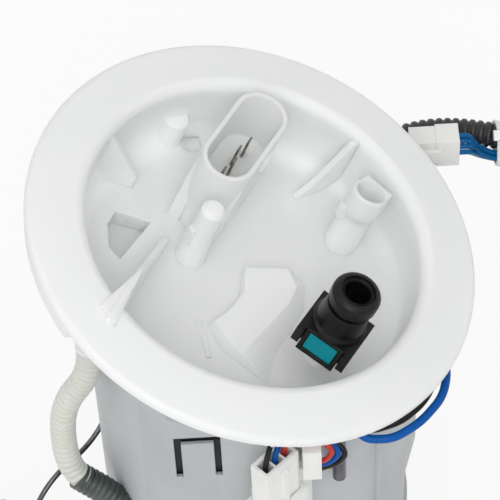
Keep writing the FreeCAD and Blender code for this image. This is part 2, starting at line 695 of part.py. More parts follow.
def catch(turn, top):
    centre = top - CATCH_BELOW
    length = CATCH_REACH + PANEL_WALL / 2
    nub = block(length, CATCH_WIDTH, centre - CATCH_HEIGHT / 2, centre + CATCH_HEIGHT / 2,
                Vector(PANEL_FACE - PANEL_WALL / 2 - length / 2, PANEL_OFFSET, 0))
    return radial(nub, turn)


def make_sleeve():
    wall = tube(SLEEVE_RADIUS, SLEEVE_BORE, SLEEVE_BOTTOM, TALL).common(below_flange(UNDERSIDE))
    band = tube(SLEEVE_RADIUS + 1.0, SLEEVE_BORE, SLEEVE_BOTTOM, SLEEVE_BOTTOM + 4)
    ribs = [radial(block(2.0, 2.4, SLEEVE_BOTTOM, 120, Vector(SLEEVE_RADIUS, 0, 0)), azimuth)
            for azimuth in (170, -40, 60, 100)]
    solids = [wall, band] + ribs
    for turn, top in zip(PANEL_TURNS, PANEL_TOPS):
        solids.append(panel_wall(turn, top))
    body = fuse_all(solids)
    slot_width = BRACKET_WIDTH + 2 * SLOT_SIDE_GAP
    slot = block(16, slot_width, SLEEVE_BOTTOM - 1, BRACKET_TOP + STROKE + 2, Vector(SLEEVE_RADIUS, 0, 0))
    body = body.cut(radial(slot, SENSOR_AZIMUTH))
    body = body.cut(cylinder(SLEEVE_BORE - 0.001, SLEEVE_BOTTOM - 1, PANEL_TOPS[1] - PANEL_HEIGHT + 4))
    for turn, top in zip(PANEL_TURNS, PANEL_TOPS):
        body = body.cut(cylinder(SLEEVE_BORE, SLEEVE_BOTTOM - 1, TALL))
        body = body.cut(panel_channel(turn, top)).cut(window(turn, top)).fuse(catch(turn, top))
    inner = Vector(*FITTING_ROUTE[-1])
    outward = (Vector(*FITTING_ROUTE[-2]) - inner).normalize()
    return body.cut(Part.makeCylinder(2.4, 12, inner - outward * 6, outward)).removeSplitter()


def rail(turn, top):
    # A flat strip that stands up from the pot's wall, as high as the flange allows over the whole stroke.
    low = top - PANEL_HEIGHT + 8
    outer = PANEL_FACE - PANEL_WALL - RAIL_GAP
    strip = block(POT_WALL, RAIL_WIDTH, low, TALL, Vector(outer - POT_WALL / 2, PANEL_OFFSET, 0))
    foot = block(9, RAIL_WIDTH, low, low + RAIL_FOOT, Vector(outer - 4.5, PANEL_OFFSET, 0))
    foot = foot.cut(cylinder(POT_RADIUS - POT_WALL, 0, TALL))
    room = below_flange(UNDERSIDE)
    room.translate(Vector(0, 0, -STROKE - STROKE_CLEARANCE))
    shape = radial(strip.fuse(foot), turn).common(room)
    return shape.common(cylinder(2 * POT_RADIUS, 0, top - 1))


def rail_slot(turn, top):
    # The pot hangs on the catch at the upper end of this slot and may rise by the stroke.
    centre = top - CATCH_BELOW
    high = centre + CATCH_HEIGHT / 2 + STROKE_CLEARANCE
    low = centre - CATCH_HEIGHT / 2 - STROKE - STROKE_CLEARANCE
    return radial(block(20, CATCH_WIDTH + 0.8, low, high, Vector(POT_RADIUS, PANEL_OFFSET, 0)), turn)


def tower(azimuth):
    at = polar(ROD_ORBIT, azimuth)
    post_body = cylinder(TOWER_RADIUS, TOWER_LOW, TOWER_TOP, at)
    web = radial(block(6, 4, TOWER_LOW, TOWER_TOP - 2, Vector(ROD_ORBIT + 4, 0, 0)), azimuth)
    return post_body.fuse(web)


def make_pot():
    shell = tube(POT_RADIUS, POT_RADIUS - POT_WALL, POT_FLOOR_LOW, POT_HEIGHT)
    floor = cylinder(POT_RADIUS, POT_FLOOR_LOW, POT_FLOOR_LOW + POT_FLOOR)
    feet = [radial(block(9, 16, 0, POT_FLOOR_LOW + 1, Vector(FOOT_RADIUS - 5, 0, 0)), azimuth)
            for azimuth in (0, 72, 144, 216, 288)]
    feet.append(cylinder(9.0, 0, POT_FLOOR_LOW + 1))
    rails = [rail(turn, top) for turn, top in zip(PANEL_TURNS, PANEL_TOPS)]
    towers = [tower(azimuth) for azimuth in ROD_AZIMUTHS]
    body = fuse_all([shell, floor] + feet + rails + towers)
    for turn, top in zip(PANEL_TURNS, PANEL_TOPS):
        body = body.cut(rail_slot(turn, top))
    for azimuth in ROD_AZIMUTHS:
        body = body.cut(cylinder(ROD_RADIUS + ROD_RUNNING_GAP, TOWER_LOW - 1, TOWER_TOP + 1,
                                 polar(ROD_ORBIT, azimuth)))
    body = body.cut(cylinder(3.0, 0, POT_FLOOR_LOW * 2, VALVE_CENTRE))
    for azimuth in range(0, 360, 60):
        hole_at = VALVE_CENTRE + polar(7.5, azimuth + 30)
        body = body.cut(cylinder(2.4, POT_FLOOR_LOW - 1, POT_FLOOR_LOW * 2, hole_at))
    return body.removeSplitter()


def make_inlet_valve():
    # A rubber mushroom in the pot's floor.
    floor_top = POT_FLOOR_LOW + POT_FLOOR
    profile = ((0, POT_FLOOR_LOW - 2.5), (2.0, POT_FLOOR_LOW - 2.5), (3.8, POT_FLOOR_LOW - 0.02),
               (2.98, POT_FLOOR_LOW - 0.02), (2.98, floor_top + 0.02), (11.5, floor_top + 0.02),
               (11.5, floor_top + 0.6), (3, floor_top + 1.3), (0, floor_top + 1.3))
    return revolved(profile, VALVE_CENTRE)


# Pump
def make_impeller():
    disc = cylinder(IMPELLER_RADIUS, PUMP_LOW + 4.2, PUMP_LOW + 7.8)
    for index in range(IMPELLER_BLADES):
        azimuth = index * 360.0 / IMPELLER_BLADES
        notch = block(2.6, 1.6, PUMP_LOW + 4, PUMP_LOW + 8, Vector(IMPELLER_RADIUS - 1.2, 0, 0))
        disc = disc.cut(radial(notch, azimuth))
    return disc.cut(cylinder(SHAFT_RADIUS, 0, 100))


def make_armature():
    low = PUMP_LOW + 16
    core = cylinder(ARMATURE_RADIUS, low, low + 34)
    for index in range(8):
        slot = block(5, 1.4, low - 1, low + 36, Vector(ARMATURE_RADIUS - 1.5, 0, 0))
        core = core.cut(radial(slot, index * 45.0))
    collector = cylinder(6.5, low + 33.5, low + 42)
    body = core.fuse(collector).removeSplitter()
    return body.cut(cylinder(SHAFT_RADIUS, 0, 120))


def magnet(azimuth):
    outer = PUMP_RADIUS - PUMP_SHELL
    ring = tube(outer, outer - MAGNET_THICKNESS, PUMP_LOW + 15, PUMP_LOW + 52)
    return ring.common(radial(block(40, 24, 0, 100, Vector(20, 0, 0)), azimuth))


def make_pump_base():
    body = cylinder(PUMP_RADIUS - PUMP_SHELL, PUMP_LOW, PUMP_LOW + 12)
    body = body.cut(cylinder(IMPELLER_RADIUS + 0.4, PUMP_LOW + 4, PUMP_LOW + 8))
    body = body.fuse(cylinder(6.0, PUMP_LOW - 5, PUMP_LOW))
    body = body.cut(cylinder(SHAFT_RADIUS + SHAFT_GAP, PUMP_LOW + 1.5, PUMP_LOW + 20))
    inlet = cylinder(2.2, PUMP_LOW - 6, PUMP_LOW + 4.5, Vector(3.2, 0, 0))
    port_up = cylinder(2.2, PUMP_LOW + 7, PUMP_LOW + 13, Vector(-11, 0, 0))
    return body.cut(inlet).cut(port_up)


def make_pump_head():
    # The plastic end with the outlet and the two terminals' wells.
    low = PUMP_TOP - 10
    body = cylinder(PUMP_RADIUS - PUMP_SHELL, low, PUMP_TOP)
    body = body.fuse(cylinder(PUMP_RADIUS - 3, PUMP_TOP, PUMP_TOP + 3))
    body = body.fuse(cylinder(5.0, PUMP_TOP, PUMP_TOP + 12, Vector(-8, 0, 0)))
    body = body.cut(cylinder(3.0, low - 1, PUMP_TOP + 13, Vector(-8, 0, 0)))
    body = body.cut(cylinder(SHAFT_RADIUS + SHAFT_GAP, low - 1, low + 6))
    return body.removeSplitter()


def make_filter_housing():
    shell = tube(FILTER_OUTER, FILTER_OUTER - FILTER_WALL, FILTER_LOW, FILTER_TOP)
    inner = tube(FILTER_INNER + FILTER_WALL, FILTER_INNER, FILTER_LOW, FILTER_TOP)
    base = tube(FILTER_OUTER, FILTER_INNER, FILTER_LOW - 1.6, FILTER_LOW)
    legs = [radial(block(6, 5, POT_FLOOR_LOW + POT_FLOOR, FILTER_LOW, Vector(FILTER_OUTER - 3, 0, 0)), azimuth)
            for azimuth in (30, 150, 270)]
    return fuse_all([shell, inner, base] + legs)


def make_filter_lid():
    lid = tube(FILTER_OUTER + 0.4, FILTER_INNER, FILTER_TOP, FILTER_TOP + 2)
    stem = cylinder(HOSE_NIPPLE, FILTER_TOP, FILTER_TOP + 18, Vector(OUTLET_X, OUTLET_Y, 0))
    seat = tube(REGULATOR_RADIUS + 1.6, REGULATOR_RADIUS, FILTER_TOP, FILTER_TOP + 6, REGULATOR_CENTRE)
    body = fuse_all([lid, stem, seat])
    return body.cut(cylinder(1.8, FILTER_TOP - 1, FILTER_TOP + 20, Vector(OUTLET_X, OUTLET_Y, 0)))


def make_filter_element():
    inner = FILTER_INNER + FILTER_WALL + 0.6
    outer = FILTER_OUTER - FILTER_WALL - 0.4
    count = 36
    points = []
    for index in range(count):
        for radius, share in ((outer, 0.0), (outer, 0.3), (outer - 3.0, 0.5), (outer - 3.0, 0.8)):
            angle = 2 * math.pi * (index + share) / count
            points.append((radius * math.cos(angle), radius * math.sin(angle)))
    body = prism(points, FILTER_LOW, FILTER_TOP - FILTER_LOW)
    return body.cut(cylinder(inner, 0, 120))


def make_strainer_frame():
    low = POT_FLOOR_LOW + POT_FLOOR + 2.4
    ring = tube(STRAINER_RADIUS, STRAINER_RADIUS - 2, low, low + 4)
    spokes = [radial(block(STRAINER_RADIUS - 8, 2, low, low + 1.5, Vector(6 + (STRAINER_RADIUS - 8) / 2, 0, 0)),
                     azimuth) for azimuth in range(0, 360, 60)]
    hub = tube(8.5, 6.0, low, PUMP_LOW)
    return fuse_all([ring, hub] + spokes)


def make_strainer_mesh():
    low = POT_FLOOR_LOW + POT_FLOOR + 1.6
    return tube(STRAINER_RADIUS, 8.5, low, low + 0.8)


def make_regulator():
    bore = REGULATOR_RADIUS
    base = FILTER_TOP + 2
    profile = ((0, base), (5, base), (5, base + 2), (bore, base + 2), (bore, base + 10), (bore + 1.2, base + 10),
               (bore + 1.2, base + 12), (bore - 1.5, base + 13), (bore - 1.5, base + 19), (0, base + 19))
    return revolved(profile, REGULATOR_CENTRE)


def make_jet_pump():
    at = polar(42.2, 300)
    floor = POT_FLOOR_LOW + POT_FLOOR
    body = revolved(((0, floor), (4.4, floor), (4.4, floor + 6), (3.0, floor + 12), (3.0, 62), (0, 62)), at)
    return body.cut(cylinder(1.6, floor + 2, 70, at))


# Level sensor
def sensor_place(shape):
    # Drawn with X along the tangent towards the back, Y outwards along the radius and the pivot at z = 0.
    copy = shape.copy()
    copy.Placement = Placement(Vector(0, 0, PIVOT_HEIGHT), Rotation(UP, SENSOR_AZIMUTH - 90)).multiply(copy.Placement)
    return copy


SENSOR_BACK = SLEEVE_RADIUS + 1.0 + SENSOR_GAP
SENSOR_FACE = SENSOR_BACK + SENSOR_THICKNESS
HUB_BACK = SENSOR_FACE + 0.5
ARM_PLANE = HUB_BACK + HUB_THICKNESS / 2


def upright(radius, back, front):
    # A cylinder along the pivot's axis.
    shape = Part.makeCylinder(radius, front - back, Vector(0, back, 0), Vector(0, 1, 0))
    return shape


def make_sensor_body():
    low = SENSOR_LOW - PIVOT_HEIGHT
    high = SENSOR_TOP - PIVOT_HEIGHT
    plate_body = Part.makeBox(SENSOR_WIDTH, SENSOR_THICKNESS, high - low, Vector(-SENSOR_WIDTH / 2, SENSOR_BACK, low))
    recess = Part.makeBox(SENSOR_WIDTH - 5, 2.0, 21, Vector(-SENSOR_WIDTH / 2 + 2.5, SENSOR_FACE - 2, low + 2.5))
    pivot = upright(PIVOT_RADIUS, SENSOR_BACK + 1, HUB_BACK + HUB_THICKNESS + 1.2)
    head = upright(PIVOT_RADIUS + 1.2, HUB_BACK + HUB_THICKNESS + 0.2, HUB_BACK + HUB_THICKNESS + 1.6)
    body = sensor_place(plate_body.cut(recess).fuse(pivot).fuse(head))
    bracket_low = BRACKET_LOW
    bracket = block(14, BRACKET_WIDTH, bracket_low, BRACKET_TOP, Vector(SENSOR_BACK - 6, 0, 0))
    bracket = radial(bracket, SENSOR_AZIMUTH).cut(cylinder(POT_RADIUS, 0, 200))
    return fuse_all([body, bracket])


def make_sensor_card():
    low = SENSOR_LOW - PIVOT_HEIGHT
    card = Part.makeBox(SENSOR_WIDTH - 7, 1.0, 19, Vector(-SENSOR_WIDTH / 2 + 3.5, SENSOR_FACE - 2, low + 3.5))
    return sensor_place(card)


def make_float_hub():
    hub = upright(HUB_RADIUS, HUB_BACK, HUB_BACK + HUB_THICKNESS)
    tail = Part.makeBox(7, HUB_THICKNESS, 14, Vector(-3.5, HUB_BACK, -15))
    finger = Part.makeBox(3, 1.2, 3, Vector(-1.5, HUB_BACK - 0.9, -14.5))
    tail = tail.fuse(finger)
    tail.rotate(ORIGIN, Vector(0, 1, 0), WIPER_LEAD)
    hub = hub.fuse(tail)
    start, end = ARM_POINTS[0], ARM_POINTS[1]
    hub = hub.cut(upright(PIVOT_RADIUS + PIVOT_GAP, HUB_BACK - 1, HUB_BACK + HUB_THICKNESS + 1))
    groove = Part.makeCylinder(ARM_WIRE, 40, Vector(start[0], ARM_PLANE, start[1]),
                               Vector(end[0] - start[0], 0, end[1] - start[1]))
    return sensor_place(hub.cut(groove).removeSplitter())


def make_float_arm():
    points = [(x, ARM_PLANE, z) for x, z in ARM_POINTS]
    end = ARM_POINTS[-1]
    rod = along(points, ARM_WIRE)
    cross = upright(ARM_WIRE, ARM_PLANE - FLOAT_LENGTH / 2 - 2, ARM_PLANE + FLOAT_LENGTH / 2 + 2)
    cross.translate(Vector(end[0], 0, end[1]))
    return sensor_place(rod.fuse(cross).removeSplitter())


def make_float():
    end = ARM_POINTS[-1]
    body = upright(FLOAT_RADIUS, ARM_PLANE - FLOAT_LENGTH / 2, ARM_PLANE + FLOAT_LENGTH / 2)
    body = body.makeFillet(1.5, [body.Edges[0], body.Edges[2]])
    body.translate(Vector(end[0], 0, end[1]))
    rod = along([(x, ARM_PLANE, z) for x, z in ARM_POINTS], ARM_WIRE)
    cross = upright(ARM_WIRE, ARM_PLANE - 60, ARM_PLANE + 60)
    cross.translate(Vector(end[0], 0, end[1]))
    return sensor_place(body.cut(rod).cut(cross))


# Front plug, wires and loom
def plug_box(length, depth, low, top):
    return block(length, depth, low, top, PLUG_CENTRE, PLUG_ANGLE)


def make_plug():
    body = plug_box(PLUG_LENGTH, PLUG_DEPTH, PLUG_LOW, PLUG_TOP)
    for index in range(3):
        at = PLUG_CENTRE + polar((index - 1) * CELL_PITCH, PLUG_ANGLE)
        cell = block(3.4, 4.6, PLUG_TOP - 6, PLUG_TOP + 1, at, PLUG_ANGLE)
        body = body.cut(cell)
    rib = block(2.4, 1.4, PLUG_LOW + 18, PLUG_TOP - 3, PLUG_CENTRE + polar(PLUG_DEPTH / 2 + 0.6, PLUG_ANGLE - 90),
                PLUG_ANGLE)
    return body.fuse(rib).removeSplitter()


def make_socket():
    outer = plug_box(PLUG_LENGTH + 2 * SOCKET_WALL + 0.4, PLUG_DEPTH + 2 * SOCKET_WALL + 0.4, SOCKET_LOW, SOCKET_TOP)
    cavity = plug_box(PLUG_LENGTH + 0.4, PLUG_DEPTH + 0.4, PLUG_LOW, SOCKET_TOP + 1)
    wing_at = PLUG_CENTRE + polar(PLUG_LENGTH / 2 + 4.5, PLUG_ANGLE)
    wing = block(7, 3, SOCKET_LOW, SOCKET_TOP + 9, wing_at, PLUG_ANGLE)
    arm_at = PLUG_CENTRE + polar(-PLUG_LENGTH / 2 - 4.5, PLUG_ANGLE)
    arm = block(7, 2.4, SOCKET_LOW, SOCKET_TOP - 10, arm_at, PLUG_ANGLE)
    body = fuse_all([outer, wing, arm]).cut(cavity)
    foot = block(16, 16, SOCKET_LOW, SOCKET_TOP - 6, Vector(PLUG_CENTRE.x, PLUG_CENTRE.y + 8, 0), 0)
    clip = Part.makeBox(CLIP_WIDTH, 5.5, CLIP_TOP - CLIP_LOW, Vector(CLIP_FACE - CLIP_WIDTH, -58.4, CLIP_LOW))
    bridge = Part.makeBox(CLIP_WIDTH, 10, 5, Vector(CLIP_FACE - CLIP_WIDTH, -58.4, CLIP_TOP - 5))
    body = body.fuse(foot.cut(cavity)).fuse(clip.cut(cavity)).fuse(bridge).cut(cylinder(SLEEVE_RADIUS, 0, TALL))
    for index in range(3):
        body = body.cut(side_wire(index))
    return body.removeSplitter()


def make_pin():
    # The steel pin that hangs beside the plug.
    pin = cylinder(PIN_RADIUS, PIN_LOW, FLANGE_CENTRE.z, PIN_CENTRE)
    tip = revolved(((0, PIN_LOW - 1.2), (PIN_RADIUS - 0.9, PIN_LOW - 1.2), (PIN_RADIUS, PIN_LOW), (0, PIN_LOW)),
                   PIN_CENTRE)
    return pin.fuse(tip).removeSplitter().common(below_flange(-18.0))


def outlet_point(offset, out=3.0):
    # A point on the bottom face of the wire outlet, offset along its length.
    local = radial(Part.Vertex(BOWL_OUTER + out, offset, -18.0), OUTLET_AZIMUTH).Point
    return FLANGE_FRAME.multVec(local)


def front_wire(index):
    # From the outlet straight down into the plug.
    start = outlet_point(-14.0 + 3.4 * index, 2.5)
    target = PLUG_CENTRE + polar((index - 1) * CELL_PITCH, PLUG_ANGLE)
    target.z = PLUG_TOP - 6
    above = Vector(target.x, target.y, target.z + 7)
    return along([tuple(start), tuple(start - flange_normal() * 4), tuple(above), tuple(target)], WIRE_RADIUS)


def side_wire(index):
    # From the outlet down and back into the clip beside the plug.
    shift = Vector(2.1, 0.6, -1.7) * (index - 1)
    start = outlet_point(-2.0 + 2.6 * index, 1.8)
    end = Vector(CLIP_FACE - 2, -56.0, 138.6 - 2.2 * (index - 1))
    points = [start, start - flange_normal() * 3, Vector(27.2, -56.4, 146.5) + shift,
              Vector(24.6, -56.2, 141) + shift, end]
    return along([tuple(point) for point in points], WIRE_RADIUS)


def loop_wire(route, offset, rise):
    # A wire that swings round the right side just under the rim, from the outlet to the rear connector.
    outward = FLANGE_FRAME.Rotation.multVec(polar(1, OUTLET_AZIMUTH))
    start = FLANGE_FRAME.multVec(radial(Part.Vertex(BOWL_OUTER + 6, offset, -14.5), OUTLET_AZIMUTH).Point)
    points = [tuple(start), tuple(start + outward * 3)]
    points += [(x, y, LOOP_HEIGHT) for x, y in route]
    end = CONNECTOR_CENTRE + Vector(-8.5, rise, rise)
    points += [tuple(end - Vector(5 + rise, 0, 0)), tuple(end)]
    return along(points, LOOP_WIRE_RADIUS)


def make_rear_connector():
    body = Part.makeBox(17, 8, 11, CONNECTOR_CENTRE + Vector(-8.5, -4, -5.5))
    catch_tab = Part.makeBox(7, 2.0, 5, CONNECTOR_CENTRE + Vector(-5, -6, -2.5))
    step = Part.makeBox(8, 8.8, 11.8, CONNECTOR_CENTRE + Vector(0.5, -4.4, -5.9))
    return body.fuse(catch_tab).fuse(step).removeSplitter()


def loom_wire(index):
    # Blue wires from the rear connector to the loom tube, then beside it into the cuff.
    row = (index - 1.5) * 1.9
    start = CONNECTOR_CENTRE + Vector(8.5, 0.767 * -row, -0.641 * row)
    inner = WIRE_BUNDLE + LOOM_DOWN * (index % 2 - 0.5) * 1.9 + LOOM_IN * (index // 2 - 0.5) * 1.9
    before = inner - LOOM_RUN * 6
    after = inner + LOOM_RUN * 8
    return along([tuple(start), tuple(start + Vector(3.5, 0, 0)), tuple(before), tuple(after)], WIRE_RADIUS)


def hull_ring(centres, radii, at, direction, length):
    # A band pulled tight round two round bundles.
    side = LOOM_DOWN
    across = direction.cross(side).normalize()
    outline = []
    for angle in range(0, 360, 12):
        ray = (math.cos(math.radians(angle)), math.sin(math.radians(angle)))
        reach = [centre * ray[0] + radius for centre, radius in zip(centres, radii)]
        pick = reach.index(max(reach))
        outline.append(at + side * (centres[pick] + radii[pick] * ray[0]) + across * (radii[pick] * ray[1]))
    return Part.Face(Part.makePolygon(outline + outline[:1])).extrude(direction * length)


def make_cable_tie():
    spread = (WIRE_BUNDLE - LOOM_AT_TIE).dot(LOOM_DOWN)
    start = LOOM_AT_TIE - LOOM_RUN * 1.3
    outer = hull_ring((0, spread), (LOOM_RADIUS + 1.1, 3.4), start, LOOM_RUN, 2.6)
    inner = hull_ring((0, spread), (LOOM_RADIUS + 0.1, 2.4), start - LOOM_RUN, LOOM_RUN, 5)
    head = Part.makeBox(4.5, 3.6, 3.6, Vector(-2.25, -1.8, 0))
    head.Placement = Placement(LOOM_AT_TIE - LOOM_IN * (LOOM_RADIUS + 0.9), Rotation(UP, LOOM_IN * -1))
    return outer.fuse(head).cut(inner).cut(along(LOOM_ROUTE, LOOM_RADIUS)).removeSplitter()


def make_loom_gland():
    first = Vector(*LOOM_ROUTE[0])
    direction = (Vector(*LOOM_ROUTE[1]) - first).normalize()
    ring = Part.makeCylinder(LOOM_RADIUS + 2.0, 7, first - direction * 5, direction)
    inner = Part.makeCylinder(LOOM_RADIUS, 3, first, direction)
    return ring.cut(inner).cut(cylinder(SLEEVE_RADIUS, 0, 240))


def loom_cuff():
    start = WIRE_BUNDLE.add(LOOM_AT_TIE).multiply(0.5) + LOOM_RUN * 4
    return Part.makeCylinder(8.2, 9, start, LOOM_RUN)


def make_far_connector():
    end = Vector(*LOOM_ROUTE[-1])
    direction = (end - Vector(*LOOM_ROUTE[-2])).normalize()
    collar_ring = Part.makeCylinder(4.6, 6, end, direction)
    box = Part.makeBox(14, 9, 9, Vector(0, -4.5, -4.5))
    box.Placement = Placement(end + direction * 6, Rotation(Vector(1, 0, 0), direction))
    return collar_ring.fuse(box).removeSplitter()


def build():
    os.makedirs("parts", exist_ok=True)
    export("flange", make_flange())
    seal = tube(BOWL_OUTER + SEAL_WIDTH, BOWL_OUTER, -RIM_THICKNESS - SEAL_HEIGHT, -RIM_THICKNESS)
    export("flange_seal", tilted(seal.cut(wire_outlet())))
    export("main_terminals", *[tilted(blade(index)) for index in range(BLADE_COUNT)])
    export("coupler_body", tilted(make_coupler()))
    export("coupler_latch", tilted(make_latch()))
    export("coupler_seals", tilted(coupler_ring(-1.9)), tilted(coupler_ring(0.1)))
    export("sleeve", make_sleeve())

    rods = [cylinder(ROD_RADIUS, ROD_LOW, BOSS_BOTTOM + ROD_SEAT, polar(ROD_ORBIT, azimuth))
            for azimuth in ROD_AZIMUTHS]
    export("guide_rods", *rods)
    for name, azimuth in zip(("spring_rear", "spring_front"), ROD_AZIMUTHS):
        at = polar(ROD_ORBIT, azimuth)
        export(name, coil(SPRING_RADIUS, SPRING_WIRE, TOWER_TOP, BOSS_BOTTOM, SPRING_TURNS, at))

    export("reservoir_pot", make_pot())
    export("inlet_valve", make_inlet_valve())
    export("strainer_frame", make_strainer_frame())
    export("strainer_mesh", make_strainer_mesh())
    export("pump_case", tube(PUMP_RADIUS, PUMP_RADIUS - PUMP_SHELL, PUMP_LOW, PUMP_TOP))
    export("pump_base", make_pump_base())
    export("pump_head", make_pump_head())
    export("pump_magnets", magnet(0), magnet(180))
    export("pump_armature", make_armature())
    export("pump_shaft", cylinder(SHAFT_RADIUS, PUMP_LOW + 2, PUMP_TOP - 5))
    export("pump_impeller", make_impeller())
    brushes = [radial(block(6, 4, PUMP_LOW + 52, PUMP_LOW + 57, Vector(9.6, 0, 0)), azimuth) for azimuth in (90, 270)]
    export("pump_brushes", *brushes)
    export("filter_housing", make_filter_housing())
    export("filter_element", make_filter_element())
    export("filter_lid", make_filter_lid())
    export("pressure_regulator", make_regulator())
    export("jet_pump", make_jet_pump())
    outlet = Vector(OUTLET_X, OUTLET_Y, 0)
    export("outlet_hose", tube(4.4, HOSE_NIPPLE, FILTER_TOP + 6, 142, outlet))
    leads = [cylinder(WIRE_RADIUS, PUMP_TOP + 3, 148, Vector(4, y, 0)) for y in (-6, 6)]
    export("pump_leads", *leads)

    export("level_sensor", make_sensor_body())
    export("sensor_card", make_sensor_card())
    export("float_hub", make_float_hub())
    export("float_arm", make_float_arm())
    export("float", make_float())

    export("return_hose", hollow_along(RETURN_ROUTE, HOSE_RADIUS, HOSE_BORE))
    export("return_fitting", make_return_fitting())
    export("sensor_socket", make_socket())
    export("sensor_plug", make_plug())
    for index, colour in enumerate(("black", "blue", "red")):
        export("wires_" + colour, front_wire(index), side_wire((2 - index) % 3))
    export("wire_pin", make_pin())
    export("loop_wire_blue", loop_wire(BLUE_LOOP, 11.0, -1.7))
    export("loop_wire_black", loop_wire(BLACK_LOOP, 14.8, 1.7))

    export("loom_gland", make_loom_gland())
    export("loom_tube", along(LOOM_ROUTE, LOOM_RADIUS))
    export("rear_connector", make_rear_connector())
    strands = [loom_wire(index) for index in range(4)]
    export("loom_wires", *strands)
    cuff = loom_cuff().cut(along(LOOM_ROUTE, LOOM_RADIUS))
    for strand in strands:
        cuff = cuff.cut(strand)
    export("loom_cuff", cuff)
    export("cable_tie", make_cable_tie())
    export("far_connector", make_far_connector())
    for name, points in (("loom", LOOM_ROUTE), ("return hose", RETURN_ROUTE)):
        path, radii = route_wire(points)
        print(name, "length", round(path.Length, 1), "radii", [round(radius, 1) for radius in radii])


build()
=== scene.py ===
import math
import bpy
from mathutils import Matrix, Vector


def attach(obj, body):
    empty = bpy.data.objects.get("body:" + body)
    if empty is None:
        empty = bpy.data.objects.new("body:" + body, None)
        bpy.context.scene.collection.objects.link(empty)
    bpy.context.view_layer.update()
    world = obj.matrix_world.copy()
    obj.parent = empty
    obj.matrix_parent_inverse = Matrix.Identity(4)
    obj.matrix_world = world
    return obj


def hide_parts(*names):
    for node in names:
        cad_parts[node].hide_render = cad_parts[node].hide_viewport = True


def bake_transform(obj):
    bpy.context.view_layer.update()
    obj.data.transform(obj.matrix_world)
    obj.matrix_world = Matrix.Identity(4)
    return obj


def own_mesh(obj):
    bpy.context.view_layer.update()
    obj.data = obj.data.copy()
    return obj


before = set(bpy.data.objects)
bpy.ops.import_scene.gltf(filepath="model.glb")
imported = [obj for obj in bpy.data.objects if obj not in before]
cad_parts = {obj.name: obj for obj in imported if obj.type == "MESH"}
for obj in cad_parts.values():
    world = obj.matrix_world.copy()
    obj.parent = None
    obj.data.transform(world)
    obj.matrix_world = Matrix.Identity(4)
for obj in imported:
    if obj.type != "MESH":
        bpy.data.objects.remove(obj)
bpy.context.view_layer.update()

MM = 0.001

# The camera, read from the photo: its angle down, its roll, its lens and sensor in mm, and its place.
CAMERA_ELEVATION = math.radians(50.1)
CAMERA_ROLL = math.radians(3.14)
CAMERA_LENS = 180
CAMERA_SENSOR = 36
CAMERA_PLACE = Vector((2.1, -511.2, 791.4)) * MM

# The floor. FLOOR_GLOW is the share of it that shows as plain white.
FLOOR_HALF = 4
FLOOR_HEIGHT = -0.0002
FLOOR_BASE = (0.93, 0.93, 0.93, 1)
FLOOR_ROUGHNESS = 0.9
FLOOR_GLOW = 0.86

# The light of the surroundings, which grows from the horizon up to SKY_HEIGHT.
HORIZON = 0.44
ZENITH = 0.60
SKY_HEIGHT = 0.9

# The area lights: name, place, size and power. All of them face AIM.
AIM = (0, 0, 0.12)
LAMPS = (
    ("top", (0.3, -0.9, 2.1), 1.8, 9.0),
    ("front", (-0.2, -1.9, 1.7), 1.4, 16.5),
    ("side", (-1.9, -0.5, 1.0), 1.0, 3.0),
)

# Procedural textures: the noise values that are spread over a range, the detail of the noises,
# how much finer the patches of roughness are than those of colour, and the strength of the bumps.
NOISE_LOW = 0.3
NOISE_HIGH = 0.7
CLOUD_DETAIL = 6.0
GRAIN_DETAIL = 3.0
ROUGHNESS_PATCHES = 3.1
MOULDED_BUMP = 0.35
METAL_BUMP = 0.3
EDGE_SAMPLES = 4

# The line of a hose, and one rib of it as shares of the way from the inner to the outer radius.
ROUTE_ORDER = 3
ROUTE_RESOLUTION = 24
RIB = (0.0, 0.15, 0.8, 1.0, 1.0, 1.0, 0.8, 0.15)
PLAIN_SHARE = 0.97


# Materials.
def nodes_of(name):
    material = bpy.data.materials.new(name)
    material.use_nodes = True
    tree = material.node_tree
    shader = next(node for node in tree.nodes if node.type == "BSDF_PRINCIPLED")
    return material, tree, shader


def ramp(tree, source, low, high, start=0.35, end=0.65):
    node = tree.nodes.new("ShaderNodeValToRGB")
    node.color_ramp.elements[0].position = start
    node.color_ramp.elements[0].color = (*low, 1)
    node.color_ramp.elements[1].position = end
    node.color_ramp.elements[1].color = (*high, 1)
    tree.links.new(source, node.inputs["Fac"])
    return node.outputs["Color"]


def spread(tree, source, low, high):
    node = tree.nodes.new("ShaderNodeMapRange")
    node.inputs["From Min"].default_value = NOISE_LOW
    node.inputs["From Max"].default_value = NOISE_HIGH
    node.inputs["To Min"].default_value = low
    node.inputs["To Max"].default_value = high
    tree.links.new(source, node.inputs["Value"])
    return node.outputs["Result"]


def noise(tree, scale, detail=4.0, stretch=(1, 1, 1)):
    place = tree.nodes.new("ShaderNodeTexCoord")
    mapping = tree.nodes.new("ShaderNodeMapping")
    mapping.inputs["Scale"].default_value = stretch
    tree.links.new(place.outputs["Object"], mapping.inputs["Vector"])
    texture = tree.nodes.new("ShaderNodeTexNoise")
    texture.inputs["Scale"].default_value = scale
    texture.inputs["Detail"].default_value = detail
    tree.links.new(mapping.outputs["Vector"], texture.inputs["Vector"])
    return texture.outputs["Fac"]


def bump(tree, shader, source, strength, distance, edge=0.0):
    node = tree.nodes.new("ShaderNodeBump")
    node.inputs["Strength"].default_value = strength
    node.inputs["Distance"].default_value = distance
    tree.links.new(source, node.inputs["Height"])
    if edge:
        bevel = tree.nodes.new("ShaderNodeBevel")
        bevel.samples = EDGE_SAMPLES
        bevel.inputs["Radius"].default_value = edge
        tree.links.new(bevel.outputs["Normal"], node.inputs["Normal"])
    tree.links.new(node.outputs["Normal"], shader.inputs["Normal"])


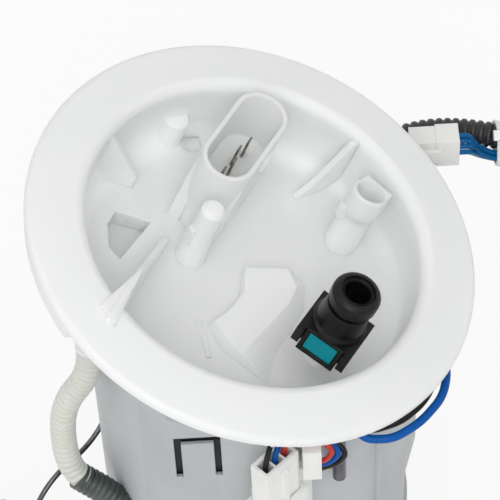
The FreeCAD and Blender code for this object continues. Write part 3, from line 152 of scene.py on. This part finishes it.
def moulded(name, low, high, rough=(0.35, 0.5), grain=900.0, depth=0.00006, patch=22.0, edge=0.0,
            **shader_values):
    material, tree, shader = nodes_of(name)
    cloud = noise(tree, patch, CLOUD_DETAIL)
    tree.links.new(ramp(tree, cloud, low, high), shader.inputs["Base Color"])
    patches = noise(tree, patch * ROUGHNESS_PATCHES, GRAIN_DETAIL)
    tree.links.new(spread(tree, patches, *rough), shader.inputs["Roughness"])
    bump(tree, shader, noise(tree, grain, GRAIN_DETAIL), MOULDED_BUMP, depth, edge)
    for key, value in shader_values.items():
        shader.inputs[key.replace("_", " ")].default_value = value
    return material


def metal(name, low, high, rough=(0.22, 0.4), stretch=(1, 1, 1), scale=300.0, depth=0.00002):
    material, tree, shader = nodes_of(name)
    streak = noise(tree, scale, stretch=stretch)
    tree.links.new(ramp(tree, streak, low, high), shader.inputs["Base Color"])
    tree.links.new(spread(tree, streak, *rough), shader.inputs["Roughness"])
    shader.inputs["Metallic"].default_value = 1.0
    bump(tree, shader, streak, METAL_BUMP, depth)
    return material


EVEN = (1.0, 1.0, 1.0)
WHITE = moulded("white_moulding_look", (0.90, 0.92, 0.91), (0.92, 0.935, 0.925), rough=(0.36, 0.48),
                edge=0.0006, Subsurface_Weight=0.6, Subsurface_Scale=0.006, Subsurface_Radius=EVEN,
                Specular_IOR_Level=0.3)
PLUG = moulded("plug_look", (0.87, 0.87, 0.84), (0.91, 0.91, 0.88), rough=(0.34, 0.44), edge=0.0003,
               Subsurface_Weight=0.4, Subsurface_Scale=0.003, Subsurface_Radius=EVEN)
# The sleeve colour is partly the moulding's own milky white-grey and partly painted shade: it is painted
# darker than that tone to stand in for the shade under the flange. The filter housing, filter lid, jet pump
# and float hub share it.
SLEEVE_WITH_PAINTED_SHADE = moulded("sleeve_tone_and_painted_shade_look", (0.475, 0.50, 0.515), (0.54, 0.56, 0.575), rough=(0.4, 0.52),
                 edge=0.0005, Subsurface_Weight=0.15, Subsurface_Scale=0.004, Subsurface_Radius=EVEN)
BLACK = moulded("black_moulding_look", (0.004, 0.004, 0.005), (0.009, 0.009, 0.010), rough=(0.38, 0.5),
                edge=0.0003, Specular_IOR_Level=0.3)
FITTING = moulded("fitting_look", (0.035, 0.046, 0.043), (0.085, 0.105, 0.10), rough=(0.25, 0.38), patch=90.0)
COUPLER = moulded("coupler_look", (0.003, 0.003, 0.0026), (0.006, 0.006, 0.0055), rough=(0.27, 0.4),
                  edge=0.0005, Specular_IOR_Level=0.25)
TEAL = moulded("latch_look", (0.0, 0.205, 0.245), (0.0, 0.235, 0.285), rough=(0.35, 0.45), edge=0.0003,
               Specular_IOR_Level=0.18)
RUBBER = moulded("rubber_look", (0.012, 0.012, 0.012), (0.022, 0.022, 0.022), rough=(0.6, 0.75), grain=1500.0)
HOSE = moulded("clear_hose_look", (0.60, 0.61, 0.555), (0.70, 0.71, 0.65), rough=(0.22, 0.34),
               Subsurface_Weight=0.6, Subsurface_Scale=0.003, Subsurface_Radius=EVEN)
LOOM = moulded("loom_look", (0.008, 0.008, 0.009), (0.016, 0.016, 0.018), rough=(0.35, 0.5))
BLUE = moulded("wire_blue_look", (0.0, 0.075, 0.33), (0.001, 0.095, 0.39), rough=(0.3, 0.42), grain=1800.0,
               Specular_IOR_Level=0.18)
REAR_BLUE = moulded("wire_rear_blue_look", (0.0, 0.09, 0.25), (0.001, 0.12, 0.33), rough=(0.28, 0.4),
                    grain=1800.0, Specular_IOR_Level=0.15)
BLACK_WIRE = moulded("wire_black_look", (0.006, 0.006, 0.006), (0.012, 0.012, 0.012), rough=(0.3, 0.42),
                     grain=1800.0, Specular_IOR_Level=0.25)
RED = moulded("wire_red_look", (0.42, 0.012, 0.012), (0.52, 0.025, 0.02), rough=(0.3, 0.42), grain=1800.0)
STEEL = metal("steel_look", (0.52, 0.52, 0.53), (0.66, 0.66, 0.67), stretch=(1, 1, 12))
DARK_STEEL = metal("dark_steel_look", (0.09, 0.09, 0.10), (0.16, 0.16, 0.17))
TINNED = metal("contact_look", (0.16, 0.15, 0.12), (0.30, 0.28, 0.23), rough=(0.3, 0.45))
COPPER = metal("copper_look", (0.48, 0.22, 0.12), (0.60, 0.30, 0.17))
FERRITE = moulded("ferrite_look", (0.03, 0.03, 0.032), (0.05, 0.05, 0.052), rough=(0.5, 0.6))
PAPER = moulded("filter_paper_look", (0.60, 0.53, 0.37), (0.68, 0.61, 0.45), rough=(0.7, 0.85), grain=2500.0)
MESH = moulded("strainer_mesh_look", (0.68, 0.68, 0.65), (0.76, 0.76, 0.73), rough=(0.6, 0.75), grain=3000.0)
ALUMINIUM = metal("aluminium_look", (0.58, 0.58, 0.60), (0.70, 0.70, 0.72))
CARD = moulded("card_look", (0.03, 0.10, 0.06), (0.05, 0.14, 0.08), rough=(0.25, 0.35))
FOAM = moulded("float_foam_look", (0.015, 0.015, 0.015), (0.035, 0.035, 0.035), rough=(0.8, 0.9), grain=600.0,
               depth=0.0003)

LOOKS = {
    "flange": WHITE, "flange_seal": RUBBER, "main_terminals": TINNED, "coupler_body": COUPLER,
    "coupler_latch": TEAL, "coupler_seals": RUBBER, "sleeve": SLEEVE_WITH_PAINTED_SHADE, "guide_rods": STEEL,
    "spring_rear": STEEL, "spring_front": STEEL, "reservoir_pot": BLACK, "inlet_valve": RUBBER,
    "strainer_frame": WHITE, "strainer_mesh": MESH, "pump_case": STEEL, "pump_base": ALUMINIUM,
    "pump_head": BLACK, "pump_magnets": FERRITE, "pump_armature": COPPER, "pump_shaft": STEEL,
    "pump_impeller": BLACK, "pump_brushes": FERRITE, "filter_housing": SLEEVE_WITH_PAINTED_SHADE, "filter_element": PAPER,
    "filter_lid": SLEEVE_WITH_PAINTED_SHADE, "pressure_regulator": ALUMINIUM, "jet_pump": SLEEVE_WITH_PAINTED_SHADE, "outlet_hose": HOSE,
    "pump_leads": RED, "level_sensor": BLACK, "sensor_card": CARD, "float_hub": SLEEVE_WITH_PAINTED_SHADE,
    "float_arm": DARK_STEEL, "float": FOAM, "return_hose": HOSE, "return_fitting": FITTING,
    "sensor_socket": PLUG, "sensor_plug": PLUG, "wires_black": BLACK_WIRE, "wires_blue": BLUE,
    "wires_red": RED, "wire_pin": DARK_STEEL, "cable_tie": PLUG, "loop_wire_blue": BLUE,
    "loop_wire_black": BLACK_WIRE, "loom_gland": BLACK, "loom_tube": LOOM,
    "rear_connector": PLUG, "loom_wires": REAR_BLUE,
    "loom_cuff": RUBBER, "far_connector": BLACK,
}


def dress_nodes():
    for name, material in LOOKS.items():
        piece = bpy.data.objects[name]
        for slot in piece.material_slots:
            slot.material = material
        if not piece.material_slots:
            piece.data.materials.append(material)


# Shapes.
def mesh_object(name, vertices, faces, material, smooth=True):
    mesh = bpy.data.meshes.new(name)
    mesh.from_pydata([tuple(vertex) for vertex in vertices], [], faces)
    mesh.update()
    for polygon in mesh.polygons:
        polygon.use_smooth = smooth
    mesh.materials.append(material)
    piece = bpy.data.objects.new(name, mesh)
    bpy.context.scene.collection.objects.link(piece)
    return piece


def route_points(name, points):
    # The smooth line of a NURBS spline whose control points are the route.
    curve = bpy.data.curves.new(name + "_line", "CURVE")
    curve.dimensions = "3D"
    curve.resolution_u = ROUTE_RESOLUTION
    spline = curve.splines.new("NURBS")
    spline.points.add(len(points) - 1)
    for point, place in zip(spline.points, points):
        point.co = (*(Vector(place) * MM), 1.0)
    spline.order_u = ROUTE_ORDER
    spline.use_endpoint_u = True
    holder = bpy.data.objects.new(name + "_line", curve)
    bpy.context.scene.collection.objects.link(holder)
    line = bpy.data.meshes.new_from_object(holder)
    places = [vertex.co.copy() for vertex in line.vertices]
    bpy.data.objects.remove(holder)
    bpy.data.meshes.remove(line)
    return places


def resample(places, step):
    # Evenly spaced places along the same line, and its length.
    lengths = [0.0]
    for before, after in zip(places, places[1:]):
        lengths.append(lengths[-1] + (after - before).length)
    total = lengths[-1]
    count = max(2, round(total / step))
    result = []
    index = 0
    for number in range(count + 1):
        target = total * number / count
        while index < len(lengths) - 2 and lengths[index + 1] < target:
            index += 1
        span = lengths[index + 1] - lengths[index]
        share = 0 if span == 0 else (target - lengths[index]) / span
        result.append(places[index].lerp(places[index + 1], share))
    return result, total


def tube_mesh(name, places, radius_at, material, sides=24):
    # A closed tube along the places. radius_at gives the radius of each ring.
    tangents = []
    for index in range(len(places)):
        before = places[max(0, index - 1)]
        after = places[min(len(places) - 1, index + 1)]
        tangents.append((after - before).normalized())
    side = tangents[0].orthogonal().normalized()
    vertices = []
    faces = []
    for index, (place, tangent) in enumerate(zip(places, tangents)):
        side = (side - tangent * side.dot(tangent)).normalized()
        other = tangent.cross(side)
        radius = radius_at(index)
        for number in range(sides):
            angle = 2 * math.pi * number / sides
            vertices.append(place + (side * math.cos(angle) + other * math.sin(angle)) * radius)
    for index in range(len(places) - 1):
        for number in range(sides):
            ahead = (number + 1) % sides
            a = index * sides
            faces.append((a + number, a + ahead, a + sides + ahead, a + sides + number))
    faces.append(tuple(reversed(range(sides))))
    last = (len(places) - 1) * sides
    faces.append(tuple(range(last, last + sides)))
    return mesh_object(name, vertices, faces, material)


def corrugated(name, points, material, outer, inner, pitch, plain=0.004):
    # A ribbed tube, measured in metres. The length called plain has no ribs, at both ends.
    places, total = resample(route_points(name, points), pitch / len(RIB))

    def radius_at(index):
        distance = index * total / (len(places) - 1)
        if distance < plain or distance > total - plain:
            return outer * PLAIN_SHARE
        return inner + (outer - inner) * RIB[index % len(RIB)]

    return tube_mesh(name, places, radius_at, material), places


# The routes of the ribbed tubes, in mm: the control points of their smooth lines.
LOOM_ROUTE = (
    (28, 48.5, 146), (42, 65.5, 149), (65, 76.5, 149.5), (93, 74.5, 145.5), (121, 68, 136),
    (146, 58, 114), (165, 47, 84), (180, 33, 52), (192, 16, 24), (198, -7, 7.5), (194, -33, 4.6),
    (173, -52, 4.6), (145, -50, 4.6), (127, -29, 4.6), (128, -2, 4.6), (148, 17, 4.6),
)
RETURN_ROUTE = (
    (-50.2, -28.6, 170.3), (-50.2, -28.6, 158.5), (-61.2, -26, 139), (-63.4, -25.5, 116),
    (-61.4, -27, 101), (-56.2, -28, 96.5),
)
FITTING_ROUTE = (
    (-59.85, -27.3, 99.66), (-56.1, -28.02, 96.42), (-50.9, -29.02, 91.9), (-45, -30.5, 84.6),
    (-42.6, -31, 82.2),
)


def make_loom():
    loom, places = corrugated("loom_conduit", LOOM_ROUTE, LOOM, outer=0.00455, inner=0.0038, pitch=0.0028)
    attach(loom, "head")
    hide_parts("loom_tube")


def make_return_hose():
    hose, _ = corrugated("return_corrugated", RETURN_ROUTE, HOSE, outer=0.0043, inner=0.0036,
                         pitch=0.0026, plain=0.003)
    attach(hose, "head")
    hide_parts("return_hose")
    fitting, _ = corrugated("fitting_ribbed", FITTING_ROUTE, FITTING, outer=0.0049, inner=0.0043,
                            pitch=0.0021, plain=0.0012)
    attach(fitting, "head")
    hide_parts("return_fitting")


# The springs on the guide rods and the outlet hose, in mm.
ROD_ORBIT = 41.8
REAR_ROD = math.radians(65.0)
FRONT_ROD = math.radians(235.0)
SPRING_LOW = 105.0
SPRING_TOP = 140.0
COIL_STEPS = 28
COIL_SIDES = 10
OUTLET_PLACE = (22.0, -24.0)
OUTLET_LOW = 90.0
OUTLET_TOP = 142.0
STEM_TOP = 102.0
NIPPLE_LOW = 136.0
OUTLET_RIB_STEPS = 4


def make_spring(name, node, azimuth, radius=3.9, wire=0.55, turns=7.5):
    # The coil winds around its guide rod from SPRING_LOW up to SPRING_TOP.
    centre = Vector((ROD_ORBIT * math.cos(azimuth), ROD_ORBIT * math.sin(azimuth), 0))
    steps = round(turns * COIL_STEPS)
    places = []
    for step in range(steps + 1):
        angle = 2 * math.pi * turns * step / steps
        height = SPRING_LOW + wire + (SPRING_TOP - SPRING_LOW - 2 * wire) * step / steps
        places.append((centre + Vector((radius * math.cos(angle), radius * math.sin(angle), height))) * MM)
    spring = tube_mesh(name, places, lambda index: wire * MM, STEEL, sides=COIL_SIDES)
    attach(spring, "head")
    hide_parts(node)
    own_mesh(spring)


def make_outlet_hose(outer=4.4, inner=2.8, groove=0.6, pitch=3.0, sides=32):
    # A ribbed hollow hose, whose lower end sits on the filter's stem.
    count = round((OUTLET_TOP - OUTLET_LOW) / pitch * OUTLET_RIB_STEPS)
    rings = []
    for step in range(count + 1):
        height = OUTLET_LOW + (OUTLET_TOP - OUTLET_LOW) * step / count
        ribbed = STEM_TOP < height < NIPPLE_LOW
        depth = 0.5 - 0.5 * math.cos(2 * math.pi * step / OUTLET_RIB_STEPS)
        rings.append((outer - groove * depth * ribbed, height))
    rings += [(inner, height) for _, height in reversed(rings)]
    vertices = []
    for radius, height in rings:
        for number in range(sides):
            angle = 2 * math.pi * number / sides
            vertices.append(Vector((OUTLET_PLACE[0] + radius * math.cos(angle),
                                    OUTLET_PLACE[1] + radius * math.sin(angle), height)) * MM)
    faces = []
    for index in range(len(rings)):
        following = (index + 1) % len(rings)
        for number in range(sides):
            ahead = (number + 1) % sides
            faces.append((index * sides + number, index * sides + ahead,
                          following * sides + ahead, following * sides + number))
    hose = mesh_object("outlet_ribbed", vertices, faces, HOSE)
    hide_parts("outlet_hose")
    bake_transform(hose)


# Camera, floor and light.
def make_camera():
    right = Vector((1, 0, 0))
    down = Vector((0, -math.sin(CAMERA_ELEVATION), -math.cos(CAMERA_ELEVATION)))
    ahead = Vector((0, math.cos(CAMERA_ELEVATION), -math.sin(CAMERA_ELEVATION)))
    image_right = right * math.cos(CAMERA_ROLL) + down * math.sin(CAMERA_ROLL)
    image_down = down * math.cos(CAMERA_ROLL) - right * math.sin(CAMERA_ROLL)
    turn = Matrix((image_right, -image_down, -ahead)).transposed()
    data = bpy.data.cameras.new("camera")
    data.sensor_width = CAMERA_SENSOR
    data.lens = CAMERA_LENS
    camera = bpy.data.objects.new("camera", data)
    camera.matrix_world = Matrix.Translation(CAMERA_PLACE) @ turn.to_4x4()
    bpy.context.scene.collection.objects.link(camera)
    bpy.context.scene.camera = camera


def seen_directly(tree):
    # One where a ray comes from the camera, a reflection or a clear part, zero where it lights a surface.
    path = tree.nodes.new("ShaderNodeLightPath")
    first = tree.nodes.new("ShaderNodeMath")
    first.operation = "MAXIMUM"
    tree.links.new(path.outputs["Is Camera Ray"], first.inputs[0])
    tree.links.new(path.outputs["Is Glossy Ray"], first.inputs[1])
    second = tree.nodes.new("ShaderNodeMath")
    second.operation = "MAXIMUM"
    tree.links.new(first.outputs[0], second.inputs[0])
    tree.links.new(path.outputs["Is Transmission Ray"], second.inputs[1])
    return second.outputs[0]


def make_floor():
    material, tree, shader = nodes_of("floor_look")
    shader.inputs["Base Color"].default_value = FLOOR_BASE
    shader.inputs["Roughness"].default_value = FLOOR_ROUGHNESS
    share = tree.nodes.new("ShaderNodeMath")
    share.operation = "MULTIPLY"
    share.inputs[1].default_value = FLOOR_GLOW
    glow = tree.nodes.new("ShaderNodeEmission")
    glow.inputs["Color"].default_value = (1, 1, 1, 1)
    glow.inputs["Strength"].default_value = 1.0
    mix = tree.nodes.new("ShaderNodeMixShader")
    output = next(node for node in tree.nodes if node.type == "OUTPUT_MATERIAL")
    tree.links.new(seen_directly(tree), share.inputs[0])
    tree.links.new(share.outputs[0], mix.inputs[0])
    tree.links.new(shader.outputs[0], mix.inputs[1])
    tree.links.new(glow.outputs[0], mix.inputs[2])
    tree.links.new(mix.outputs[0], output.inputs["Surface"])
    corners = [(x * FLOOR_HALF, y * FLOOR_HALF, FLOOR_HEIGHT)
               for x, y in ((-1, -1), (1, -1), (1, 1), (-1, 1))]
    floor = mesh_object("floor", corners, [(0, 1, 2, 3)], material, smooth=False)


def area(name, place, size, power):
    data = bpy.data.lights.new(name, "AREA")
    data.size = size
    data.energy = power
    light = bpy.data.objects.new(name, data)
    light.location = place
    light.rotation_euler = (Vector(AIM) - Vector(place)).to_track_quat("-Z", "Y").to_euler()
    bpy.context.scene.collection.objects.link(light)


def make_light():
    world = bpy.data.worlds.new("studio")
    bpy.context.scene.world = world
    world.use_nodes = True
    tree = world.node_tree
    background = tree.nodes["Background"]
    background.inputs["Color"].default_value = (1, 1, 1, 1)
    place = tree.nodes.new("ShaderNodeTexCoord")
    parts = tree.nodes.new("ShaderNodeSeparateXYZ")
    tree.links.new(place.outputs["Generated"], parts.inputs[0])
    height = tree.nodes.new("ShaderNodeMapRange")
    height.inputs["From Min"].default_value = 0.0
    height.inputs["From Max"].default_value = SKY_HEIGHT
    height.inputs["To Min"].default_value = HORIZON
    height.inputs["To Max"].default_value = ZENITH
    tree.links.new(parts.outputs["Z"], height.inputs["Value"])
    strength = tree.nodes.new("ShaderNodeMix")
    strength.data_type = "FLOAT"
    tree.links.new(seen_directly(tree), strength.inputs[0])
    tree.links.new(height.outputs["Result"], strength.inputs[2])
    strength.inputs[3].default_value = 1.0
    tree.links.new(strength.outputs[0], background.inputs["Strength"])
    for name, stand, size, power in LAMPS:
        area(name, stand, size, power)
    bpy.context.scene.view_settings.view_transform = "Standard"


dress_nodes()
make_loom()
make_return_hose()
make_spring("spring_rear_coil", "spring_rear", REAR_ROD)
make_spring("spring_front_coil", "spring_front", FRONT_ROD)
make_outlet_hose()
make_camera()
make_floor()
make_light()
